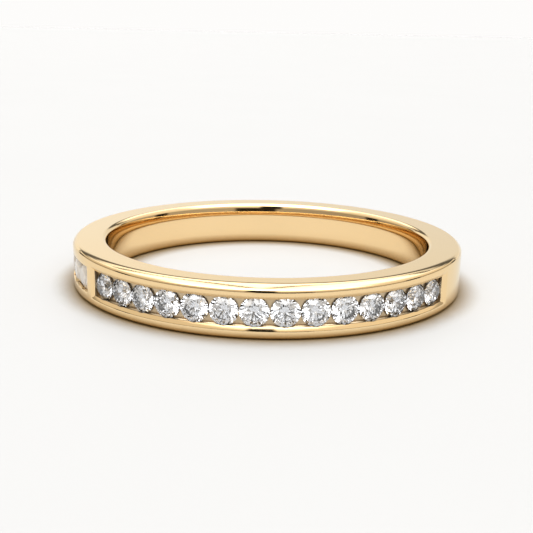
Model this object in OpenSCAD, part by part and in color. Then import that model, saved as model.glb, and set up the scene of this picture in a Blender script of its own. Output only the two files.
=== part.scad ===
// Channel set band in yellow gold, lying on its side, in millimetres.
// The origin is the middle of the finger hole, on the face that the band rests on. +Z is up,
// along the finger, and the middle of the main row of stones faces -Y.
// The main channel has a bevelled mouth with mitred corners. A bar parts it from a short side
// channel on its -X end. Each stone sits with its girdle in a groove in both channel walls,
// over a seat of its own. Above the stone the walls are cut out round, so that their edges are
// scalloped and come in a little between the stones.

/* [Band] */
// Diameter of the finger hole
bore_d = 17.5; // [15:0.1:21]
// Thickness of the band from the finger hole to the outside
wall = 1.85; // [1.6:0.05:2.4]
// Width of the band along the finger
band_w = 2.5; // [2.4:0.1:3.6]

/* [Edges] */
// Width of the straight middle of the finger hole's wall
bore_flat_w = 0.7; // [0.3:0.05:1]
// Radius of the shallow curve from there towards both edges of the finger hole
bore_curve_r = 3.6; // [3:0.1:6]
// Radius of the rounded edges of the finger hole
bore_edge_r = 0.25; // [0.15:0.05:0.4]
// Radius of the rounding along the outer edge that the band rests on
foot_edge_r = 0.15; // [0.1:0.01:0.2]
// Radius of the rounded upper outer edge at the back of the band
back_edge_r = 0.4; // [0.2:0.02:0.5]
// Distance by which the outer edge rounding is set off towards the front, where it fades out
back_edge_shift = 0.12; // [0.05:0.01:0.3]
// Width of the flat bevel along the upper outer edge at the front
bevel_w = 0.6; // [0.3:0.05:0.8]
// Slope of that bevel, in degrees from the side face
bevel_slope = 14; // [10:1:20]
// Distance by which the bevel's cone is set off towards the back, where it runs out
bevel_shift = 0.64; // [0.5:0.02:0.9]

/* [Channel] */
// Depth of the stones' girdles under the outside of the band
girdle_depth = 0.24; // [0.22:0.01:0.3]
// How far the channel walls lap over each girdle
wall_lap = 0.012; // [0.01:0.002:0.03]
// How far each channel wall comes in between the stones, past their edges
wall_in = 0.04; // [0.035:0.005:0.07]
// Depth of the bevel around the mouth of the main channel
mouth_depth = 0.1; // [0.08:0.01:0.14]
// Width of that bevel along the two long sides
mouth_side_w = 0.175; // [0.14:0.005:0.22]
// Width of that bevel at the +X end
mouth_end_w = 0.45; // [0.2:0.05:0.6]
// Width of that bevel at the end next to the bar
bar_end_w = 0.26; // [0.1:0.02:0.36]
// Depth of the channel floor under the girdle
floor_depth = 0.08; // [0.07:0.005:0.12]
// Width of the bar between the main channel's mouth and the side channel
bar_w = 0.48; // [0.4:0.02:0.8]

/* [Stones] */
// Diameter of each round stone
stone_d = 1.38; // [1.2:0.02:1.46]
// Number of stones in the main channel
stone_n = 14; // [8:1:16]
// Number of stones in the side channel
side_stone_n = 3; // [1:1:5]
// Gap between neighbouring stones
stone_gap = 0.025; // [0.02:0.005:0.06]
// Gap between the last stone of a row and the end of its channel
end_gap = 0.065; // [0.03:0.005:0.2]
// Gap between a stone and the metal around it
seat_gap = 0.02; // [0.015:0.005:0.03]
// Angle of the facets above the girdle
crown_angle = 34.5; // [32:0.5:36]
// Angle of the facets under the girdle
pavilion_angle = 40.8; // [39:0.1:42]
// Thickness of the girdle
girdle_t = 0.03; // [0.02:0.005:0.05]
// Width of the table as a share of the stone's diameter
table_share = 0.57; // [0.5:0.01:0.62]

/* [Hidden] */
$fn = 160;
bore_r = bore_d/2;
out_r = bore_r + wall;
mid_z = band_w/2;
// Cutters run past the faces that they cut by this much
over = 1;
// The rounding at the back stays this far outside the wall, so that the two never just touch
round_clear = 0.01;
// Slope at which the shallow curve of the finger hole's wall meets the rounded edge, and the
// radius at which the side faces start
curve_end_a = asin((mid_z - bore_edge_r - bore_flat_w/2)/(bore_curve_r - bore_edge_r));
face_start_r = bore_r + bore_curve_r - (bore_curve_r - bore_edge_r)*cos(curve_end_a);

// Stone
stone_r = stone_d/2;
table_r = table_share*stone_r;
crown_h = (stone_r - table_r)*tan(crown_angle);
pavilion_h = stone_r*tan(pavilion_angle);
half_girdle = girdle_t/2;
// Stars reach this share of the way from the table's edge to the girdle
star_share = 0.5;
// Facets under the girdle reach this share of the way from the girdle to the point
lower_share = 0.76;
facet_turn = 22.5;
star_r = table_r*cos(facet_turn) + star_share*(stone_r - table_r*cos(facet_turn));
lower_r = (1 - lower_share)*stone_r;
// Each stone is turned in its seat by this much more than the one before it
turn_step = 17;

// Places around the band, in degrees from the front, towards +X
girdle_r = out_r - girdle_depth;
pitch_a = 2*atan((stone_r + stone_gap/2)/girdle_r);
end_gap_a = (180/PI)*end_gap/girdle_r;
mouth_end_a = (180/PI)*mouth_end_w/out_r;
bar_end_a = (180/PI)*bar_end_w/out_r;
bar_a = (180/PI)*bar_w/out_r;
main_half_a = stone_n*pitch_a/2 + end_gap_a;
side_start_a = -(main_half_a + bar_end_a + bar_a);
side_span_a = side_stone_n*pitch_a + 2*end_gap_a;

// Channel section, as half heights from the middle of the band and radii from its axis
slot_half = stone_r - wall_in;
floor_r = girdle_r - floor_depth;
mouth_r = out_r - mouth_depth;
mouth_slope = mouth_side_w/mouth_depth;
// The mouth's sloping faces are carried on into the channel by this much
mouth_run_in = 0.03;
groove_half = stone_r + seat_gap;
groove_top = half_girdle - seat_gap*tan(crown_angle) + seat_gap/cos(crown_angle);
groove_bottom = half_girdle - seat_gap*tan(pavilion_angle) + seat_gap/cos(pavilion_angle);
groove_reach = groove_half - slot_half;

// Angle of stone i of the main row, counted from the -X end
function main_angle(i) = (i - (stone_n + 1)/2)*pitch_a;
// Angle of stone i of the side row, counted from the bar
function side_angle(i) = side_start_a - end_gap_a - (i - 0.5)*pitch_a;
// Point at angle a and height z on a circle of radius r
function ring_point(r, a, z) = [r*cos(a), r*sin(a), z];

// Puts children, whose +Z points out of the band, at angle a with their origin on the girdle
module at_seat(a) {
    rotate([0, 0, a])
        translate([0, -girdle_r, mid_z])
            rotate([90, 0, 0])
                children();
}

// Section of a plate of radius r and the band's width, with one outer corner rounded: the lower
// one, or the upper one when mirrored
module rounded_plate(r, corner) {
    square([r - corner, band_w]);
    translate([0, corner]) square([r, band_w - corner]);
    translate([r - corner, corner]) circle(corner);
}

// Section of the upper half of the finger hole: a straight wall, a shallow curve and a rounded
// edge that ends in the side face
module bore_half_section() {
    flat_z = bore_flat_w/2;
    meet_z = mid_z - bore_edge_r*(1 - sin(curve_end_a));
    difference() {
        translate([0, -over]) square([face_start_r, mid_z + 2*over]);
        translate([bore_r, -2*over]) square([out_r, flat_z + 2*over]);
        intersection() {
            translate([bore_r + bore_curve_r, flat_z]) circle(bore_curve_r);
            translate([0, -2*over]) square([2*out_r, meet_z + 2*over]);
        }
        translate([face_start_r, mid_z - bore_edge_r]) circle(bore_edge_r);
    }
}

// Section of the finger hole, flared at both faces
module bore_section() {
    for (side = [0, 1])
        translate([0, mid_z]) mirror([0, side]) bore_half_section();
}

// Section of the cone that bevels the upper outer edge
module bevel_section() {
    face_r = out_r - bevel_w + bevel_shift;
    polygon([
        [0, 0],
        [face_r + band_w/tan(bevel_slope), 0],
        [face_r, band_w],
        [0, band_w]
    ]);
}

// Section of a channel with straight walls, a floor and a groove for the girdles
module slot_section() {
    top_r = out_r + over;
    polygon([
        [floor_r, mid_z - slot_half],
        [girdle_r - groove_bottom - groove_reach*tan(pavilion_angle), mid_z - slot_half],
        [girdle_r - groove_bottom, mid_z - groove_half],
        [girdle_r + groove_top, mid_z - groove_half],
        [girdle_r + groove_top + groove_reach*tan(crown_angle), mid_z - slot_half],
        [top_r, mid_z - slot_half],
        [top_r, mid_z + slot_half],
        [girdle_r + groove_top + groove_reach*tan(crown_angle), mid_z + slot_half],
        [girdle_r + groove_top, mid_z + groove_half],
        [girdle_r - groove_bottom, mid_z + groove_half],
        [girdle_r - groove_bottom - groove_reach*tan(pavilion_angle), mid_z + slot_half],
        [floor_r, mid_z + slot_half]
    ]);
}

// Section of the main channel's bevelled mouth, carried on past the outside
module mouth_section() {
    near_half = slot_half - mouth_run_in*mouth_slope;
    far_r = out_r + over;
    far_half = slot_half + (far_r - mouth_r)*mouth_slope;
    polygon([
        [mouth_r - mouth_run_in, mid_z - near_half],
        [far_r, mid_z - far_half],
        [far_r, mid_z + far_half],
        [mouth_r - mouth_run_in, mid_z + near_half]
    ]);
}

// Plan of the mouth, whose two ends slope from the channel's end up to the outside
module mouth_plan() {
    far = 2*out_r;
    // The sloping edge is carried on in a straight line, to end_grow times its own length
    end_grow = 3;
    sides = [1, -1];
    high_a = [main_half_a + mouth_end_a, main_half_a + bar_end_a];
    low = [for (side = sides) mouth_r*[side*sin(main_half_a), -cos(main_half_a)]];
    high = [for (k = [0, 1]) out_r*[sides[k]*sin(high_a[k]), -cos(high_a[k])]];
    inner = low - mouth_run_in/mouth_depth*(high - low);
    tip = low + end_grow*(high - low);
    polygon([[0, 0], inner[0], tip[0], [far, -far], [-far, -far], tip[1], inner[1]]);
}

// Cuts the arc of a channel from angle a on over the span
module channel_sweep(a, span) {
    rotate([0, 0, a - 90]) rotate_extrude(angle = span) children();
}

module main_channel_cut() {
    channel_sweep(-main_half_a, 2*main_half_a) slot_section();
    intersection() {
        channel_sweep(-main_half_a - 2*bar_end_a, 2*(main_half_a + bar_end_a + mouth_end_a))
            mouth_section();
        linear_extrude(band_w) mouth_plan();
    }
}

module side_channel_cut() {
    channel_sweep(side_start_a - side_span_a, side_span_a) slot_section();
}

// Conical seat under one stone, drilled from just above the channel floor, and the round
// cut-out of the walls above it
module seat_cut() {
    tip_r = 0.01;
    floor_lap = 0.01;
    wide_r = stone_r + seat_gap/sin(pavilion_angle);
    low = -half_girdle - (wide_r - tip_r)*tan(pavilion_angle);
    high = -floor_depth + floor_lap;
    translate([0, 0, low])
        cylinder(h = high - low, r1 = tip_r, r2 = tip_r + (high - low)/tan(pavilion_angle), $fn = 48);
    cylinder(h = girdle_depth + over, r = stone_r - wall_lap);
}

module band() {
    color([0.91, 0.77, 0.50])
        difference() {
            intersection() {
                rotate_extrude() rounded_plate(out_r, foot_edge_r);
                translate([0, bevel_shift, 0]) rotate_extrude() bevel_section();
                translate([0, -back_edge_shift, 0])
                    rotate_extrude()
                        translate([0, band_w])
                            mirror([0, 1])
                                rounded_plate(out_r + back_edge_shift + round_clear, back_edge_r);
            }
            rotate_extrude() bore_section();
            main_channel_cut();
            side_channel_cut();
            for (i = [1:stone_n]) at_seat(main_angle(i)) seat_cut();
            for (i = [1:side_stone_n]) at_seat(side_angle(i)) seat_cut();
        }
}

// Height above the girdle of a point at radius r, half way between two main crown facets
function star_z() = half_girdle + crown_h*(stone_r - star_r*cos(facet_turn))/(stone_r - table_r);
// Height of the inner corner of the facets under the girdle
function lower_z() = -half_girdle - pavilion_h*(1 - lower_r*cos(facet_turn)/stone_r);

// Round brilliant: a table, 8 stars, 8 kites and 16 facets above the girdle, and 16 facets
// and 8 mains under it. The girdle has 16 sides.
module brilliant() {
    mains = 8;
    sides = 2*mains;
    table = [for (k = [0:mains - 1]) ring_point(table_r, 2*k*facet_turn, half_girdle + crown_h)];
    star = [for (k = [0:mains - 1]) ring_point(star_r, (2*k + 1)*facet_turn, star_z())];
    upper = [for (k = [0:sides - 1]) ring_point(stone_r, k*facet_turn, half_girdle)];
    under = [for (k = [0:sides - 1]) ring_point(stone_r, k*facet_turn, -half_girdle)];
    lower = [for (k = [0:mains - 1]) ring_point(lower_r, (2*k + 1)*facet_turn, lower_z())];
    tip = [[0, 0, -half_girdle - pavilion_h]];
    // Index of the first point of each list
    s = mains;
    u = s + mains;
    n = u + sides;
    l = n + sides;
    t = l + mains;
    polyhedron(
        points = concat(table, star, upper, under, lower, tip),
        faces = concat(
            [[for (k = [mains - 1:-1:0]) k]],
            [for (k = [0:mains - 1]) [k, (k + 1)%mains, s + k]],
            [for (k = [0:mains - 1]) [k, s + k, u + 2*k, s + (k + mains - 1)%mains]],
            [for (k = [0:mains - 1]) [s + k, u + 2*k + 1, u + 2*k]],
            [for (k = [0:mains - 1]) [s + k, u + (2*k + 2)%sides, u + 2*k + 1]],
            [for (k = [0:sides - 1]) [u + k, u + (k + 1)%sides, n + (k + 1)%sides, n + k]],
            [for (k = [0:mains - 1]) [l + k, n + 2*k, n + 2*k + 1]],
            [for (k = [0:mains - 1]) [l + k, n + 2*k + 1, n + (2*k + 2)%sides]],
            [for (k = [0:mains - 1]) [t, l + (k + mains - 1)%mains, n + 2*k, l + k]]
        )
    );
}

module stone(a, turn) {
    color([0.93, 0.95, 0.98]) at_seat(a) rotate([0, 0, turn]) brilliant();
}

band();
for (i = [1:stone_n])
    stone(main_angle(i), i*turn_step);
for (i = [1:side_stone_n])
    stone(side_angle(i), -i*turn_step);
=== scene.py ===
import math

import bmesh
import bpy
from mathutils import Matrix, Vector


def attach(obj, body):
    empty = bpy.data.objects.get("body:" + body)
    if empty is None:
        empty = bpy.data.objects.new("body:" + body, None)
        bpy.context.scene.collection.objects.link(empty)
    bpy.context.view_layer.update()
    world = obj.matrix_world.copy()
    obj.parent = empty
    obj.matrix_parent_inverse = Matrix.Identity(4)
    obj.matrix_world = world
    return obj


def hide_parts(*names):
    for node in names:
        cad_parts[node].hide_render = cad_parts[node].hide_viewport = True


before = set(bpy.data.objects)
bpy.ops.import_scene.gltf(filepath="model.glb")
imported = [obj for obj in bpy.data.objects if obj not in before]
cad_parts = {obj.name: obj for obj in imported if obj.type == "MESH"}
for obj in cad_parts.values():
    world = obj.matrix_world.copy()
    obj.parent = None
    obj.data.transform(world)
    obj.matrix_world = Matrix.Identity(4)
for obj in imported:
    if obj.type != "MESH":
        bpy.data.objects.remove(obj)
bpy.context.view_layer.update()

# Shapes are worked in millimetres and brought to metres when a piece is done. Angles round the
# band are in degrees from the front, towards +X, as in the solids.
MM = 0.001

# Points this close, in millimetres or degrees, count as in one place
NEAR = 0.008
# Far less than the distance between any two points of the blank
TINY = 0.001

# Band
BORE_R = 8.75
OUT_R = 10.6
WIDTH = 2.5
MID_Z = WIDTH / 2

# Wall of the finger hole: straight in the middle, a shallow curve, and a rounded edge
HOLE_FLAT_HALF = 0.35
HOLE_CURVE_R = 3.6
HOLE_EDGE_R = 0.25
CURVE_END = math.asin((MID_Z - HOLE_EDGE_R - HOLE_FLAT_HALF) / (HOLE_CURVE_R - HOLE_EDGE_R))
FACE_START_R = BORE_R + HOLE_CURVE_R - (HOLE_CURVE_R - HOLE_EDGE_R) * math.cos(CURVE_END)

# Outer edges: a small rounding below, and above it the bevel at the front, whose slope grows a
# little outwards, and the larger rounding that takes over at the back
FOOT_EDGE_R = 0.25
BACK_EDGE_R = 0.4
BACK_EDGE_SHIFT = 0.12
BACK_EDGE_CLEAR = 0.01
BEVEL_W = 0.6
BEVEL_SLOPE = math.tan(math.radians(12))
BEVEL_CURVE = 0.0614
BEVEL_SHIFT = 0.64
CREASE_SOFT = 0.14
# Radii of the two circles, each set off along Y, where the bevel and the back rounding start
BEVEL_START_R = OUT_R - BEVEL_W + BEVEL_SHIFT
BACK_EDGE_START_R = OUT_R + BACK_EDGE_SHIFT + BACK_EDGE_CLEAR - BACK_EDGE_R
# How far the rim's rounding reaches in and down, at the front and at the back, and the angles
# between which the first turns into the second
RIM_SOFT_FRONT = (0.1, 0.27)
RIM_SOFT_BACK = (0.24, 0.24)
RIM_SOFTENS = (45, 85)

# Stones
STONE_R = 0.69
STONE_GAP = 0.025
STONE_COUNT = 14
SIDE_STONE_COUNT = 3
GIRDLE_DEPTH = 0.24
GIRDLE_R = OUT_R - GIRDLE_DEPTH
HALF_GIRDLE = 0.015
CROWN_ANGLE = math.radians(34.5)
PAVILION_ANGLE = math.radians(40.8)
TABLE_R = 0.57 * STONE_R
STAR_SHARE = 0.5
LOWER_R = 0.24 * STONE_R
# Sides of a seat's cone, and of a stone's blank and the cut-out above it
CONE_SIDES = 48
ROUND_SIDES = 96
# Each stone is turned in its seat by this much more than the one before it
TURN_STEP = 17

# Channel
WALL_LAP = 0.012
WALL_IN = 0.04
SEAT_GAP = 0.02
END_GAP = 0.065
MOUTH_DEPTH = 0.1
MOUTH_SIDE_W = 0.175
MOUTH_END_W = 0.45
BAR_END_W = 0.26
BAR_W = 0.48
SLOT_HALF = STONE_R - WALL_IN
GROOVE_HALF = STONE_R + SEAT_GAP
MOUTH_HALF = SLOT_HALF + MOUTH_SIDE_W
FLOOR_DEPTH = 0.08
FLOOR_R = GIRDLE_R - FLOOR_DEPTH
MOUTH_R = OUT_R - MOUTH_DEPTH
LIP_SOFT = 0.045
# Faces that meet at less than this angle, in degrees, are shaded as one
SMOOTH_ANGLE = 28

# Places round the band
PITCH = math.degrees(2 * math.atan((STONE_R + STONE_GAP / 2) / GIRDLE_R))
END_GAP_A = math.degrees(END_GAP / GIRDLE_R)
MAIN_END = STONE_COUNT * PITCH / 2 + END_GAP_A
MOUTH_END = MAIN_END + math.degrees(MOUTH_END_W / OUT_R)
BAR_END = MAIN_END + math.degrees(BAR_END_W / OUT_R)
SIDE_START = -(BAR_END + math.degrees(BAR_W / OUT_R))
SIDE_END = SIDE_START - SIDE_STONE_COUNT * PITCH - 2 * END_GAP_A


def deselect_all():
    bpy.ops.object.select_all(action="DESELECT")


def take(obj):
    """Makes obj the only one that the operators act on."""
    deselect_all()
    obj.select_set(True)
    bpy.context.view_layer.objects.active = obj


def to_metres(obj):
    """Brings a finished piece to metres, with its place in its mesh."""
    obj.data.transform(Matrix.Scale(MM, 4) @ obj.matrix_world)
    obj.matrix_world = Matrix.Identity(4)


def round_band(radius, angle, z):
    a = math.radians(angle)
    return Vector((radius * math.sin(a), -radius * math.cos(a), z))


def angle_of(point):
    return math.degrees(math.atan2(point.x, -point.y))


def near(value, wanted):
    return abs(value - wanted) < NEAR


def ease(low, high, value):
    x = min(1.0, max(0.0, (value - low) / (high - low)))
    return x * x * (3 - 2 * x)


def mix(a, b, share):
    return a + (b - a) * share


# The band


def ramp(x, soft):
    """x above 0 and nothing below it, rounded over soft on both sides."""
    if x <= -soft:
        return 0.0
    if x >= soft:
        return x
    return (x + soft) ** 2 / (4 * soft)


def edge_drop(radius, angle):
    """How far the side face has dropped at this radius, by the bevel or by the rounding."""
    p = round_band(radius, angle, 0)
    out = math.hypot(p.x, p.y - BEVEL_SHIFT) - BEVEL_START_R
    past = ramp(out, CREASE_SOFT)
    bevel = BEVEL_SLOPE * past + BEVEL_CURVE * past**2
    out = math.hypot(p.x, p.y + BACK_EDGE_SHIFT) - BACK_EDGE_START_R
    rounding = 0.0
    if out > 0:
        rounding = BACK_EDGE_R - math.sqrt(max(0.0, BACK_EDGE_R**2 - out**2))
    # The larger of the two, with a soft change from one to the other
    blend = 0.002
    return 0.5 * (bevel + rounding + math.sqrt((bevel - rounding) ** 2 + blend**2) - blend)


def drop_start(angle):
    """Radius where the side face stops being flat."""
    c = math.cos(math.radians(angle))
    face = BEVEL_START_R - CREASE_SOFT
    crease = -BEVEL_SHIFT * c + math.sqrt(face**2 - BEVEL_SHIFT**2 * (1 - c * c))
    face = BACK_EDGE_START_R
    rounding = BACK_EDGE_SHIFT * c + math.sqrt(face**2 - BACK_EDGE_SHIFT**2 * (1 - c * c))
    return min(crease, rounding)


# Rows of the section, from the wall of the finger hole to the channel. The blank's corners are
# rounded by BLANK_EDGE before its rows are laid.
BLANK_EDGE = 0.7
CURVE_ROWS = 7
EDGE_ROWS = 11
FLAT_ROWS = (0.1, 0.5, 0.9)
CREASE_ROWS = 7
BEVEL_ROWS = 8
RIM_ROWS = 8
RIM_ON_TOP = 3
MOUTH_ROWS = 2
# The crease takes up this share of the way to the rim at most
CREASE_SHARE = 0.6


def hole_outline():
    """Radius and height over the middle of each row from the straight wall to the side face."""
    rows = []
    for i in range(CURVE_ROWS):
        a = CURVE_END * i / CURVE_ROWS
        r = BORE_R + HOLE_CURVE_R * (1 - math.cos(a))
        rows.append((r, HOLE_FLAT_HALF + HOLE_CURVE_R * math.sin(a)))
    for i in range(EDGE_ROWS + 1):
        a = mix(CURVE_END, math.pi / 2, i / EDGE_ROWS)
        r = FACE_START_R - HOLE_EDGE_R * math.cos(a)
        rows.append((r, MID_Z - HOLE_EDGE_R * (1 - math.sin(a))))
    return rows


def mouth_rows(angle):
    """The last rows, along the outer and the inner edge of the channel's mouth."""
    in_mouth = abs(angle) < MAIN_END + NEAR
    return [(OUT_R, MOUTH_HALF), (MOUTH_R if in_mouth else OUT_R, SLOT_HALF)]


def upper_outline(angle):
    """Radius and height over the middle of each row past the edge of the hole."""
    start = drop_start(angle)
    rows = [(mix(FACE_START_R, start, share), MID_Z) for share in FLAT_ROWS]
    backness = ease(*RIM_SOFTENS, abs(angle))
    soft_in, soft_down = (mix(f, b, backness) for f, b in zip(RIM_SOFT_FRONT, RIM_SOFT_BACK))
    rim_start = OUT_R - soft_in
    crease_end = min(start + 2 * CREASE_SOFT, mix(start, rim_start, CREASE_SHARE))
    radii = [mix(start, crease_end, i / CREASE_ROWS) for i in range(CREASE_ROWS)]
    radii += [mix(crease_end, rim_start, i / BEVEL_ROWS) for i in range(BEVEL_ROWS)]
    rows += [(r, MID_Z - edge_drop(r, angle)) for r in radii]
    corner = (OUT_R, MID_Z - edge_drop(OUT_R, angle))
    before = (rim_start, MID_Z - edge_drop(rim_start, angle))
    after = (OUT_R, corner[1] - soft_down)
    for i in range(RIM_ROWS):
        s = i / (RIM_ROWS - 1)
        points = zip(before, corner, after)
        rows.append(tuple((1 - s) ** 2 * p + 2 * s * (1 - s) * q + s * s * t for p, q, t in points))
    return rows + mouth_rows(angle)


def lower_outline(angle):
    """The same rows at the face that the band rests on, whose outer edge is only rounded."""
    count = len(FLAT_ROWS) + CREASE_ROWS + BEVEL_ROWS
    end = OUT_R - FOOT_EDGE_R
    rows = [(mix(FACE_START_R, end, (i + 0.5) / count), MID_Z) for i in range(count)]
    for i in range(RIM_ROWS):
        a = math.pi / 2 * i / (RIM_ROWS - 1)
        rows.append((end + FOOT_EDGE_R * math.sin(a), MID_Z - FOOT_EDGE_R * (1 - math.cos(a))))
    return rows + mouth_rows(angle)


def section_blank():
    """The band's plain section at the front, with a row of points for each row of the band."""
    deselect_all()
    bpy.ops.mesh.primitive_plane_add(
        size=1, location=(0, -(BORE_R + OUT_R) / 2, MID_Z), rotation=(0, math.radians(90), 0)
    )
    band = bpy.context.active_object
    band.name = "ring_band"
    bpy.ops.object.transform_apply(location=False, rotation=True, scale=False)
    band.scale = (1, OUT_R - BORE_R, WIDTH)
    bpy.ops.object.transform_apply(location=True, rotation=False, scale=True)
    bpy.ops.object.mode_set(mode="EDIT")
    mesh = band.data
    bpy.ops.mesh.select_all(action="SELECT")
    bpy.ops.mesh.delete(type="ONLY_FACE")
    middle = -(BORE_R + OUT_R) / 2
    select_vertices(mesh, lambda p: p.y > middle)
    bpy.ops.mesh.bevel(offset=BLANK_EDGE, segments=CURVE_ROWS + EDGE_ROWS, affect="VERTICES")
    top_rows = len(FLAT_ROWS) + CREASE_ROWS + BEVEL_ROWS + RIM_ON_TOP
    side_rows = 2 * (RIM_ROWS - RIM_ON_TOP - 1 + MOUTH_ROWS)
    for place, cuts in (("side", top_rows), ("outside", side_rows)):
        select_edges(mesh, lambda e: edge_place(e) == place)
        bpy.ops.mesh.subdivide(number_cuts=cuts)
    return band


def edge_place(edge):
    """Whether an edge of the blank lies along a side face, outside or in the hole."""
    a, b = (v.co for v in edge.verts)
    if abs(a.z - b.z) < TINY:
        return "side"
    if a.y < TINY - OUT_R and b.y < TINY - OUT_R:
        return "outside"
    return "hole"


def spin_band(mesh):
    """Spins the section once round, with a column at each end of each channel."""
    # Angle where each stretch starts, and its number of columns
    stops = (
        (0, 55),
        (MAIN_END, 1),
        (MOUTH_END, 200),
        (360 + SIDE_END, 24),
        (360 + SIDE_START, 3),
        (360 - BAR_END, 1),
        (360 - MAIN_END, 55),
        (360, 0),
    )
    bpy.ops.mesh.select_all(action="SELECT")
    for (start, steps), (end, _) in zip(stops, stops[1:]):
        bpy.ops.mesh.spin(
            steps=steps, angle=math.radians(end - start), center=(0, 0, 0), axis=(0, 0, -1)
        )
    bpy.ops.mesh.select_all(action="SELECT")
    bpy.ops.mesh.remove_doubles(threshold=TINY)
    bpy.ops.mesh.normals_make_consistent(inside=False)


def lay_rows(mesh, section):
    """Lays each row on its own line: the hole's wall, crease, bevel, rim and mouth."""
    bm = bmesh.from_edit_mesh(mesh)
    hole = hole_outline()
    outlines = {}
    for v in bm.verts:
        r, angle, height = math.hypot(v.co.x, v.co.y), angle_of(v.co), abs(v.co.z - MID_Z)
        side = 1 if v.co.z > MID_Z else -1
        inward = BORE_R + BLANK_EDGE - r
        if inward > -TINY:
            turn = math.atan2(height + BLANK_EDGE - MID_Z, max(0.0, inward))
            rows = hole
            row = round(turn / (math.pi / 2) * (len(hole) - 1))
        else:
            key = (side, round(angle, 2))
            if key not in outlines:
                outlines[key] = upper_outline(angle) if side > 0 else lower_outline(angle)
            rows = outlines[key]
            off = [abs(point[0] - r) + abs(point[1] - height) for point in section]
            row = off.index(min(off))
        v.co = round_band(rows[row][0], angle, MID_Z + side * rows[row][1])
    bmesh.update_edit_mesh(mesh)


def section_rows(mesh):
    """Radius and height over the middle of the blank's upper points past the edge of the hole."""
    bm = bmesh.from_edit_mesh(mesh)
    points = [(-v.co.y, v.co.z - MID_Z) for v in bm.verts if v.co.z > MID_Z]
    points = [p for p in points if p[0] > BORE_R + BLANK_EDGE + TINY]
    return sorted(points, key=lambda p: (round(p[0], 3), -p[1]))


def select_vertices(mesh, wanted):
    """Selects the points whose place passes the test, in edit mode."""
    bpy.ops.mesh.select_mode(type="VERT")
    bpy.ops.mesh.select_all(action="DESELECT")
    bm = bmesh.from_edit_mesh(mesh)
    for v in bm.verts:
        if wanted(v.co):
            v.select_set(True)
    bm.select_flush_mode()
    bmesh.update_edit_mesh(mesh)


def select_faces(mesh, wanted):
    """Selects the faces that pass the test, in edit mode."""
    bpy.ops.mesh.select_mode(type="FACE")
    bpy.ops.mesh.select_all(action="DESELECT")
    bm = bmesh.from_edit_mesh(mesh)
    for f in bm.faces:
        if wanted(f):
            f.select_set(True)
    bm.select_flush_mode()
    bmesh.update_edit_mesh(mesh)


def select_edges(mesh, wanted):
    """Selects the edges that pass the test, in edit mode."""
    bpy.ops.mesh.select_mode(type="EDGE")
    bpy.ops.mesh.select_all(action="DESELECT")
    bm = bmesh.from_edit_mesh(mesh)
    for e in bm.edges:
        if wanted(e):
            e.select_set(True)
    bm.select_flush_mode()
    bmesh.update_edit_mesh(mesh)


def groove_gap(facet_angle):
    """Distance from the girdle's middle to the groove's edge, clear of facets at this angle."""
    return HALF_GIRDLE - SEAT_GAP * math.tan(facet_angle) + SEAT_GAP / math.cos(facet_angle)


def sink_channel(mesh, low, high, top_r):
    """Sinks the strip between two angles to the channel floor, past the groove for the girdles."""
    hole_clear = 1

    def in_strip(face):
        c = face.calc_center_median()
        r = math.hypot(c.x, c.y)
        return (
            low < angle_of(c) < high
            and abs(c.z - MID_Z) < SLOT_HALF / 2
            and r > BORE_R + hole_clear
        )

    select_faces(mesh, in_strip)
    groove_top = GIRDLE_R + groove_gap(CROWN_ANGLE)
    groove_foot = GIRDLE_R - groove_gap(PAVILION_ANGLE)
    reach = GROOVE_HALF - SLOT_HALF
    steps = [
        (groove_top + reach * math.tan(CROWN_ANGLE), SLOT_HALF),
        (groove_top, GROOVE_HALF),
        (groove_foot, GROOVE_HALF),
        (groove_foot - reach * math.tan(PAVILION_ANGLE), SLOT_HALF),
        (FLOOR_R, SLOT_HALF),
    ]
    r, half = top_r, SLOT_HALF
    for next_r, next_half in steps:
        bpy.ops.mesh.extrude_region_move()
        k = next_r / r
        bpy.ops.transform.resize(value=(k, k, next_half / half), center_override=(0, 0, MID_Z))
        r, half = next_r, next_half


def soften_lips(mesh):
    """Rounds the edges of both channels a little."""
    # Angles of the two ends of each mouth, and half its width
    mouths = ((-BAR_END, MOUTH_END, MOUTH_HALF), (SIDE_END, SIDE_START, SLOT_HALF))

    def on_lip(edge):
        ends = [v.co for v in edge.verts]
        angles = [angle_of(p) for p in ends]
        halves = [abs(p.z - MID_Z) for p in ends]
        if not all(near(math.hypot(p.x, p.y), OUT_R) for p in ends):
            return False
        for first, last, half in mouths:
            if all(first - NEAR < a < last + NEAR for a in angles):
                on_side = all(near(h, half) for h in halves)
                at_end = any(all(near(a, end) for a in angles) for end in (first, last))
                if on_side or (at_end and max(halves) < half + NEAR):
                    return True
        return False

    select_edges(mesh, on_lip)
    bpy.ops.mesh.bevel(offset=LIP_SOFT, segments=3, affect="EDGES", clamp_overlap=False)


def split_mitres(mesh):
    """Splits the four corners of the main mouth along their mitres."""
    bm = bmesh.from_edit_mesh(mesh)
    inner, outer = {}, {}
    for v in bm.verts:
        a, r, h = angle_of(v.co), math.hypot(v.co.x, v.co.y), v.co.z - MID_Z
        corner = (a > 0, h > 0)
        if near(abs(a), MAIN_END) and near(abs(h), SLOT_HALF) and near(r, MOUTH_R):
            inner[corner] = v
        end = MOUTH_END if a > 0 else -BAR_END
        if near(a, end) and near(abs(h), MOUTH_HALF) and near(r, OUT_R):
            outer[corner] = v
    for corner in inner:
        bmesh.ops.connect_vert_pair(bm, verts=[inner[corner], outer[corner]])
    bmesh.update_edit_mesh(mesh)


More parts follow.
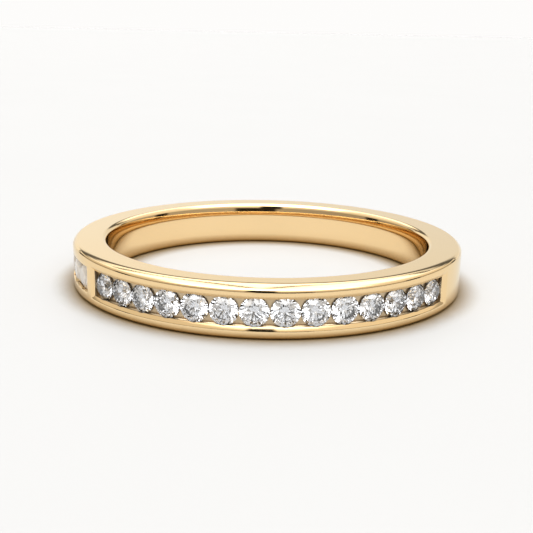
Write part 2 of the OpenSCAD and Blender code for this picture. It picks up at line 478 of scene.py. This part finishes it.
def seat_cone(angle):
    """Cutter for the conical seat under one stone."""
    tip_r, lap = 0.01, 0.01
    wide_r = STONE_R + SEAT_GAP / math.sin(PAVILION_ANGLE)
    low = -HALF_GIRDLE - (wide_r - tip_r) * math.tan(PAVILION_ANGLE)
    high = FLOOR_R - GIRDLE_R + lap
    top_r = tip_r + (high - low) / math.tan(PAVILION_ANGLE)
    bpy.ops.mesh.primitive_cone_add(
        vertices=CONE_SIDES, radius1=tip_r, radius2=top_r, depth=high - low, location=(0, 0, 0)
    )
    cone = bpy.context.active_object
    cone.data.transform(seat_place(angle) @ Matrix.Translation((0, 0, (low + high) / 2)))
    return cone


def wall_cutter(angle):
    """Cutter for the round cut-out of the walls above one stone."""
    over = 1
    height = OUT_R - GIRDLE_R + over
    bpy.ops.mesh.primitive_cylinder_add(
        vertices=ROUND_SIDES, radius=STONE_R - WALL_LAP, depth=height, location=(0, 0, 0)
    )
    cutter = bpy.context.active_object
    cutter.data.transform(seat_place(angle) @ Matrix.Translation((0, 0, height / 2)))
    return cutter


def seat_place(angle, turn=0.0):
    """Place of a stone's seat: its girdle at the origin and its table outwards."""
    return (
        Matrix.Rotation(math.radians(angle), 4, "Z")
        @ Matrix.Translation((0, -GIRDLE_R, MID_Z))
        @ Matrix.Rotation(math.radians(90), 4, "X")
        @ Matrix.Rotation(math.radians(turn), 4, "Z")
    )


def stone_angles():
    """Name, angle and turn of each stone."""
    rows = []
    for i in range(1, STONE_COUNT + 1):
        rows.append((f"stone_{i}", (i - (STONE_COUNT + 1) / 2) * PITCH, i * TURN_STEP))
    for i in range(1, SIDE_STONE_COUNT + 1):
        angle = SIDE_START - END_GAP_A - (i - 0.5) * PITCH
        rows.append((f"side_stone_{i}", angle, -i * TURN_STEP))
    return rows


def cut_seats(band):
    """Cuts the conical seats into the channel floors and the scallops into their walls."""
    cutters = [seat_cone(angle) for _, angle, _ in stone_angles()]
    cutters += [wall_cutter(angle) for _, angle, _ in stone_angles()]
    deselect_all()
    for cutter in cutters:
        cutter.select_set(True)
    bpy.context.view_layer.objects.active = cutters[0]
    bpy.ops.object.join()
    cutter = bpy.context.active_object
    take(band)
    seats = band.modifiers.new("seats", "BOOLEAN")
    seats.operation = "DIFFERENCE"
    seats.solver = "EXACT"
    seats.object = cutter
    bpy.ops.object.modifier_apply(modifier=seats.name)
    bpy.data.objects.remove(cutter)


def mark_channels(band):
    """Gives the inside of both channels, below the walls' edges, the band's second finish, satin
    with painted shade in its darker colour.
    """
    lap, seat_depth, edge_clear = 0.01, 1, 0.03
    for face in band.data.polygons:
        c = face.center
        r, angle = math.hypot(c.x, c.y), angle_of(c)
        in_main = abs(angle) < MAIN_END + lap
        in_side = SIDE_END - lap < angle < SIDE_START + lap
        deep = FLOOR_R - seat_depth < r < MOUTH_R - edge_clear
        if deep and abs(c.z - MID_Z) < GROOVE_HALF + lap and (in_main or in_side):
            face.material_index = 1


def make_band():
    """The band: its section spun round, its rows laid, and its channels sunk and lipped."""
    band = section_blank()
    mesh = band.data
    section = section_rows(mesh)
    spin_band(mesh)
    lay_rows(mesh, section)
    split_mitres(mesh)
    sink_channel(mesh, -MAIN_END, MAIN_END, MOUTH_R)
    sink_channel(mesh, SIDE_END, SIDE_START, OUT_R)
    soften_lips(mesh)
    bpy.ops.object.mode_set(mode="OBJECT")
    cut_seats(band)
    take(band)
    bpy.ops.object.shade_smooth_by_angle(angle=math.radians(SMOOTH_ANGLE))
    band.data.materials.clear()
    band.data.materials.append(polished_gold())
    band.data.materials.append(channel_gold_painted_shade())
    mark_channels(band)
    to_metres(band)
    return band


# The stones


def ring_point(radius, angle, z):
    """Point at this radius, angle and height over a stone's girdle."""
    a = math.radians(angle)
    return Vector((radius * math.cos(a), radius * math.sin(a), z))


def slice_off(mesh, a, b, c):
    """Cuts the stone flat through three points and drops what is outside."""
    normal = (b - a).cross(c - a).normalized()
    if normal.dot(a) < 0:
        normal.negate()
    bpy.ops.mesh.select_all(action="SELECT")
    bpy.ops.mesh.bisect(
        plane_co=a, plane_no=normal, use_fill=True, clear_outer=True, threshold=1e-6
    )


def cut_stone():
    """A round brilliant, sliced facet by facet from a round blank."""
    step = 22.5
    crown_h = (STONE_R - TABLE_R) * math.tan(CROWN_ANGLE)
    pavilion_h = STONE_R * math.tan(PAVILION_ANGLE)
    table_z = HALF_GIRDLE + crown_h
    tip = Vector((0, 0, -HALF_GIRDLE - pavilion_h))
    c = math.cos(math.radians(step))
    star_r = TABLE_R * c + STAR_SHARE * (STONE_R - TABLE_R * c)
    star_z = HALF_GIRDLE + crown_h * (STONE_R - star_r * c) / (STONE_R - TABLE_R)
    lower_z = -HALF_GIRDLE - pavilion_h * (1 - LOWER_R * c / STONE_R)
    spare = 0.05
    depth = table_z - tip.z + spare
    deselect_all()
    bpy.ops.mesh.primitive_cylinder_add(
        vertices=ROUND_SIDES,
        radius=STONE_R,
        depth=depth,
        location=(0, 0, table_z - depth / 2),
        rotation=(0, 0, math.radians(90)),
    )
    stone = bpy.context.active_object
    bpy.ops.object.transform_apply(location=True, rotation=True, scale=True)
    mesh = stone.data
    bpy.ops.object.mode_set(mode="EDIT")
    for k in range(8):
        here = 2 * k * step
        foot = ring_point(STONE_R, here, HALF_GIRDLE)
        star = ring_point(star_r, here + step, star_z)
        other_star = ring_point(star_r, here - step, star_z)
        slice_off(mesh, foot, star, other_star)
        slice_off(
            mesh,
            ring_point(TABLE_R, here, table_z),
            ring_point(TABLE_R, here + 2 * step, table_z),
            star,
        )
        for side in (1, -1):
            near_star = ring_point(star_r, here + side * step, star_z)
            slice_off(mesh, foot, near_star, ring_point(STONE_R, here + side * step, HALF_GIRDLE))
    for k in range(8):
        here = 2 * k * step
        foot = ring_point(STONE_R, here, -HALF_GIRDLE)
        slice_off(
            mesh,
            tip,
            ring_point(LOWER_R, here + step, lower_z),
            ring_point(LOWER_R, here - step, lower_z),
        )
        for side in (1, -1):
            corner = ring_point(LOWER_R, here + side * step, lower_z)
            slice_off(mesh, foot, corner, ring_point(STONE_R, here + side * step, -HALF_GIRDLE))
    bpy.ops.mesh.select_all(action="SELECT")
    bpy.ops.mesh.remove_doubles(threshold=1e-5)
    bpy.ops.mesh.normals_make_consistent(inside=False)
    bpy.ops.object.mode_set(mode="OBJECT")
    return stone


def set_stones():
    """A copy of the cut stone in each seat."""
    pattern = cut_stone()
    stones = []
    for name, angle, turn in stone_angles():
        mesh = pattern.data.copy()
        mesh.transform(seat_place(angle, turn))
        stone = bpy.data.objects.new("cut_" + name, mesh)
        bpy.context.scene.collection.objects.link(stone)
        to_metres(stone)
        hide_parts(name)
        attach(stone, "root")
        stones.append(stone)
    bpy.data.objects.remove(pattern)
    return stones


# The materials


def new_material(name, scale, detail, low, high):
    """A material whose colour drifts in soft clouds from low to high."""
    material = bpy.data.materials.new(name)
    material.use_nodes = True
    nodes, links = material.node_tree.nodes, material.node_tree.links
    shader = nodes["Principled BSDF"]
    place = nodes.new("ShaderNodeTexCoord")
    cloud = nodes.new("ShaderNodeTexNoise")
    cloud.inputs["Scale"].default_value = scale
    cloud.inputs["Detail"].default_value = detail
    links.new(place.outputs["Object"], cloud.inputs["Vector"])
    tint = nodes.new("ShaderNodeMix")
    tint.data_type = "RGBA"
    tint.inputs["A"].default_value = low
    tint.inputs["B"].default_value = high
    links.new(cloud.outputs["Fac"], tint.inputs["Factor"])
    links.new(tint.outputs["Result"], shader.inputs["Base Color"])
    return material, shader, cloud, tint


def vary_roughness(material, shader, cloud, smooth, rough):
    """Lets the polish drift with the clouds too."""
    nodes, links = material.node_tree.nodes, material.node_tree.links
    polish = nodes.new("ShaderNodeMapRange")
    polish.inputs["To Min"].default_value = smooth
    polish.inputs["To Max"].default_value = rough
    links.new(cloud.outputs["Fac"], polish.inputs["Value"])
    links.new(polish.outputs["Result"], shader.inputs["Roughness"])


def polished_gold():
    """The polished outside, the side faces and the wall of the finger hole."""
    low, high = (0.925, 0.675, 0.365, 1), (0.94, 0.70, 0.39, 1)
    material, shader, cloud, _ = new_material("polished_yellow_gold", 260, 4, low, high)
    shader.inputs["Metallic"].default_value = 1.0
    shader.inputs["Specular Tint"].default_value = (0.92, 0.93, 0.90, 1)
    vary_roughness(material, shader, cloud, 0.05, 0.09)
    return material


def channel_gold_painted_shade():
    """The inside of the channels: satin, as the polishing wheel doesn't reach it, and darker and
    browner than gold as painted shade.
    """
    # The satin roughness is the real finish; the dark brown colour, far below gold's own, is
    # painted shade in the channels' recess.
    low, high = (0.46, 0.35, 0.21, 1), (0.70, 0.56, 0.38, 1)
    material, shader, cloud, _ = new_material("satin_channel_painted_shade_gold", 9000, 3, low, high)
    shader.inputs["Metallic"].default_value = 1.0
    vary_roughness(material, shader, cloud, 0.25, 0.4)
    return material


def cut_stone_finish(name, low, high, clear, rough):
    """A clear cut stone, or a milkier one where clear is less than 1."""
    material, shader, cloud, _ = new_material(name, 900, 2, low, high)
    shader.inputs["Transmission Weight"].default_value = clear
    shader.inputs["IOR"].default_value = 2.42
    vary_roughness(material, shader, cloud, rough, rough + 0.01)
    return material


def pale_floor_painted_shadow():
    """A pale floor with a brown contact shadow painted into its colour close to the band."""
    low, high = (0.396, 0.399, 0.402, 1), (0.406, 0.409, 0.412, 1)
    material, shader, _, tint = new_material("pale_floor_painted_shadow", 40, 2, low, high)
    nodes, links = material.node_tree.nodes, material.node_tree.links
    shader.inputs["Roughness"].default_value = 0.6
    shader.inputs["Specular IOR Level"].default_value = 0.2
    # Painted contact shadow: where little open sky reaches the floor near the band, its colour is
    # mixed towards dark brown
    closeness = nodes.new("ShaderNodeAmbientOcclusion")
    closeness.samples = 8
    closeness.inputs["Distance"].default_value = CONTACT_REACH * MM
    open_share = nodes.new("ShaderNodeMapRange")
    open_share.inputs["From Min"].default_value = CONTACT_FULL
    links.new(closeness.outputs["AO"], open_share.inputs["Value"])
    shade = nodes.new("ShaderNodeMix")
    shade.data_type = "RGBA"
    # Colour of the painted contact shadow
    shade.inputs["A"].default_value = (0.18, 0.125, 0.055, 1)
    links.new(tint.outputs["Result"], shade.inputs["B"])
    links.new(open_share.outputs["Result"], shade.inputs["Factor"])
    links.new(shade.outputs["Result"], shader.inputs["Base Color"])
    return material


# The floor, the light and the camera


# Size of the floor in metres, and how far it lies under the band
FLOOR_SIZE = 6
FLOOR_GAP = 0.00001
# How far the painted brown contact shadow reaches from the band, in millimetres, and the share of
# open sky at which it is at its full strength
CONTACT_REACH = 1.3
CONTACT_FULL = 0.45


def lay_floor():
    """The floor that the band lies on."""
    deselect_all()
    bpy.ops.mesh.primitive_plane_add(size=FLOOR_SIZE, location=(0, 0, -FLOOR_GAP))
    floor = bpy.context.active_object
    floor.name = "floor"
    bpy.ops.object.transform_apply(location=True, rotation=True, scale=True)
    floor.data.materials.append(pale_floor_painted_shadow())
    return floor


# Elevations and turns are in degrees, the turn from the front, towards +X. A pair is where one
# light starts to give way to the next and where it has done so. The pairs whose names end in
# SPREAD are shares of the direction towards +X, or towards +Y for the slopes.
BACKDROP_TINT = (1.0, 0.99, 0.975, 1)
WALL_TINT = (1.0, 0.93, 0.83, 1)
CEILING_TINT = (1.0, 0.99, 0.975, 1)
# The backdrop behind the band, above its foot brighter on the left and darker on the right
BACKDROP_TURNS = (125, 145)
BACKDROP_FOOT = (4, 9)
HORIZON_LIGHT = 0.985
HORIZON_LEFT = 1.1
HORIZON_RIGHT = 0.93
HORIZON_SPREAD = (-0.25, 0.25)
# The walls at the front and sides, darker at their foot and to the left
WALL_FOOT = (9, 13)
LOW_WALL_LIGHT = 0.45
WALL_LIGHT = 0.94
WALL_LEFT = 0.85
WALL_SPREAD = (-1, 0.8)
# The sloping panels above the walls and the backdrop, and the ceiling above them
FRONT_SLOPE_FOOT = (33, 41)
BACK_SLOPE_FOOT = (26, 35)
SLOPE_SPREAD = (-0.1, 0.3)
SLOPE_LIGHT = 1.1
FRONT_PANEL_LIGHT = 3.6
FRONT_PANEL_TURNS = (60, 80)
BACK_PANEL_LIGHT = 2.4
BACK_PANEL_TURNS = (145, 155)
CEILING_FOOT = (54, 70)
CEILING_LIGHT = 5.0
# Lowest and highest elevation of the dark strip between the backdrop and the panel above it
BACK_GAP = (18.5, 25.5)
BACK_GAP_LIGHT = 0.12
# The same for the seam across the panel behind, and how steeply it falls towards both sides
SEAM = (46.2, 48.0)
SEAM_FALL = 58
SEAM_SOFT = 0.5
SEAM_LIGHT = 0.05
# Middle turn, half width, lowest and highest elevation of each gap between the panels
GAPS = (
    (-3.5, 8.5, 8, 38),
    (8.5, 16, -4, 10),
    (88, 6, -4, 10),
    (-88, 6, -4, 10),
    (133, 4, -4, 10),
    (-133, 4, -4, 10),
)
GAP_SOFT = 2
GAP_LIGHT = 0.02


class StudioNodes:
    """Small helpers that lay out the nodes of the studio's light."""

    def __init__(self, tree):
        self.nodes, self.links = tree.nodes, tree.links

    def plug(self, value, socket):
        """Links another node's output to the socket, or sets it to a number."""
        if hasattr(value, "links"):
            self.links.new(value, socket)
        else:
            socket.default_value = value

    def work(self, operation, *values):
        """The result of a sum on numbers or other nodes' outputs."""
        node = self.nodes.new("ShaderNodeMath")
        node.operation = operation
        for value, socket in zip(values, node.inputs):
            self.plug(value, socket)
        return node.outputs[0]

    def rise(self, value, low, high, bottom=0.0, top=1.0):
        """A soft rise from bottom to top while the value goes from low to high."""
        node = self.nodes.new("ShaderNodeMapRange")
        node.interpolation_type = "SMOOTHSTEP"
        self.plug(value, node.inputs["Value"])
        names = ("From Min", "From Max", "To Min", "To Max")
        for name, number in zip(names, (low, high, bottom, top)):
            self.plug(number, node.inputs[name])
        return node.outputs["Result"]

    def window(self, value, low, high, soft):
        """1 between low and high, fading to 0 over soft on both sides."""
        up = self.rise(value, low - soft, low + soft)
        down = self.rise(value, high - soft, high + soft, 1.0, 0.0)
        return self.work("MULTIPLY", up, down)

    def blend(self, share, a, b):
        """A colour between two others."""
        node = self.nodes.new("ShaderNodeMix")
        node.data_type = "RGBA"
        self.plug(share, node.inputs["Factor"])
        for value, name in ((a, "A"), (b, "B")):
            self.plug(value, node.inputs[name])
        return node.outputs["Result"]

    def mix(self, share, a, b):
        """A number between two others."""
        rest = self.work("SUBTRACT", 1.0, share)
        return self.work("ADD", self.work("MULTIPLY", rest, a), self.work("MULTIPLY", share, b))


def light_directions(lay):
    """Elevation, turn and the two level shares of the direction that the light comes from."""
    place = lay.nodes.new("ShaderNodeTexCoord")
    split = lay.nodes.new("ShaderNodeSeparateXYZ")
    lay.links.new(place.outputs["Generated"], split.inputs["Vector"])
    x, y, z = split.outputs["X"], split.outputs["Y"], split.outputs["Z"]
    elevation = lay.work("DEGREES", lay.work("ARCSINE", z))
    turn = lay.work("DEGREES", lay.work("ARCTAN2", x, lay.work("MULTIPLY", y, -1.0)))
    return elevation, turn, x, y


def studio_light():
    """A bright ceiling and panels over cream walls and a pale backdrop, with dark gaps between."""
    world = bpy.data.worlds.new("studio")
    bpy.context.scene.world = world
    world.use_nodes = True
    world.node_tree.nodes.clear()
    lay = StudioNodes(world.node_tree)
    elevation, turn, x, y = light_directions(lay)
    turn_off = lay.work("ABSOLUTE", turn)
    back = lay.rise(turn_off, *BACKDROP_TURNS)

    across = lay.rise(x, *HORIZON_SPREAD, HORIZON_LEFT, HORIZON_RIGHT)
    above_foot = lay.rise(elevation, *BACKDROP_FOOT)
    behind = lay.mix(above_foot, HORIZON_LIGHT, lay.work("MULTIPLY", HORIZON_LIGHT, across))
    wall = lay.rise(elevation, *WALL_FOOT, LOW_WALL_LIGHT, WALL_LIGHT)
    wall = lay.work("MULTIPLY", wall, lay.rise(x, *WALL_SPREAD, WALL_LEFT, 1.0))
    low = lay.mix(back, wall, behind)

    front_slope = lay.rise(elevation, *FRONT_SLOPE_FOOT)
    back_slope = lay.rise(elevation, *BACK_SLOPE_FOOT)
    above_wall = lay.mix(lay.rise(y, *SLOPE_SPREAD), front_slope, back_slope)
    slope = lay.rise(turn_off, *FRONT_PANEL_TURNS, FRONT_PANEL_LIGHT, SLOPE_LIGHT)
    slope = lay.mix(lay.rise(turn_off, *BACK_PANEL_TURNS), slope, BACK_PANEL_LIGHT)
    above_slope = lay.rise(elevation, *CEILING_FOOT)
    room = lay.mix(above_slope, lay.mix(above_wall, low, slope), CEILING_LIGHT)
    tint = lay.blend(back, WALL_TINT, BACKDROP_TINT)
    tint = lay.blend(above_wall, tint, CEILING_TINT)

    gap = lay.work("MULTIPLY", back, lay.window(elevation, *BACK_GAP, GAP_SOFT))
    room = lay.mix(gap, room, BACK_GAP_LIGHT)
    fall = lay.work("MULTIPLY", lay.work("ABSOLUTE", x), SEAM_FALL)
    along = lay.window(lay.work("ADD", elevation, fall), *SEAM, SEAM_SOFT)
    room = lay.mix(lay.work("MULTIPLY", back, along), room, SEAM_LIGHT)
    for middle, half, bottom, top in GAPS:
        across = lay.window(turn, middle - half, middle + half, GAP_SOFT)
        gap = lay.work("MULTIPLY", across, lay.window(elevation, bottom, top, GAP_SOFT))
        room = lay.mix(gap, room, GAP_LIGHT)

    light = lay.nodes.new("ShaderNodeBackground")
    out = lay.nodes.new("ShaderNodeOutputWorld")
    lay.links.new(room, light.inputs["Strength"])
    lay.links.new(tint, light.inputs["Color"])
    lay.links.new(light.outputs["Background"], out.inputs["Surface"])


# The camera, in millimetres and degrees, fitted to the edges of the band in the photograph. Aside
# is how far it stands off the line to the origin, to its right and up.
CAMERA_SENSOR = 36
CAMERA_LENS = 60.75
CAMERA_DISTANCE = 50.67
CAMERA_ELEVATION = 14.855
CAMERA_AZIMUTH = -1.05
CAMERA_ROLL = 1.271
CAMERA_ASIDE = (-0.013, 0.615)


def place_camera():
    """A camera at the photograph's angle, aimed by its place and turn alone."""
    e = math.radians(CAMERA_ELEVATION)
    roll = math.radians(CAMERA_ROLL)
    back = Vector((0, -math.cos(e), math.sin(e)))
    right = Vector((1, 0, 0))
    up = back.cross(right)
    spot = back * CAMERA_DISTANCE + right * CAMERA_ASIDE[0] + up * CAMERA_ASIDE[1]
    x = math.cos(roll) * right + math.sin(roll) * up
    y = -math.sin(roll) * right + math.cos(roll) * up
    turn = Matrix((x, y, back)).transposed().to_4x4()
    data = bpy.data.cameras.new("camera")
    data.sensor_fit = "HORIZONTAL"
    data.sensor_width = CAMERA_SENSOR
    data.lens = CAMERA_LENS
    data.clip_start = 0.002
    data.clip_end = 20
    camera = bpy.data.objects.new("camera", data)
    bpy.context.scene.collection.objects.link(camera)
    orbit = Matrix.Rotation(math.radians(CAMERA_AZIMUTH), 4, "Z")
    camera.matrix_world = orbit @ Matrix.Translation(spot * MM) @ turn
    bpy.context.scene.camera = camera


place_camera()
studio_light()
lay_floor()

band = make_band()
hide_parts("band")
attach(band, "root")

clear = cut_stone_finish("clear_cut_stone", (0.80, 0.83, 0.88, 1), (0.88, 0.90, 0.95, 1), 1.0, 0.0)
pale = cut_stone_finish("pale_side_stone", (0.98, 0.90, 0.79, 1), (1.0, 0.94, 0.85, 1), 0.5, 0.02)
for stone in set_stones():
    stone.data.materials.clear()
    stone.data.materials.append(pale if "side" in stone.name else clear)

bpy.context.scene.view_settings.view_transform = "Standard"
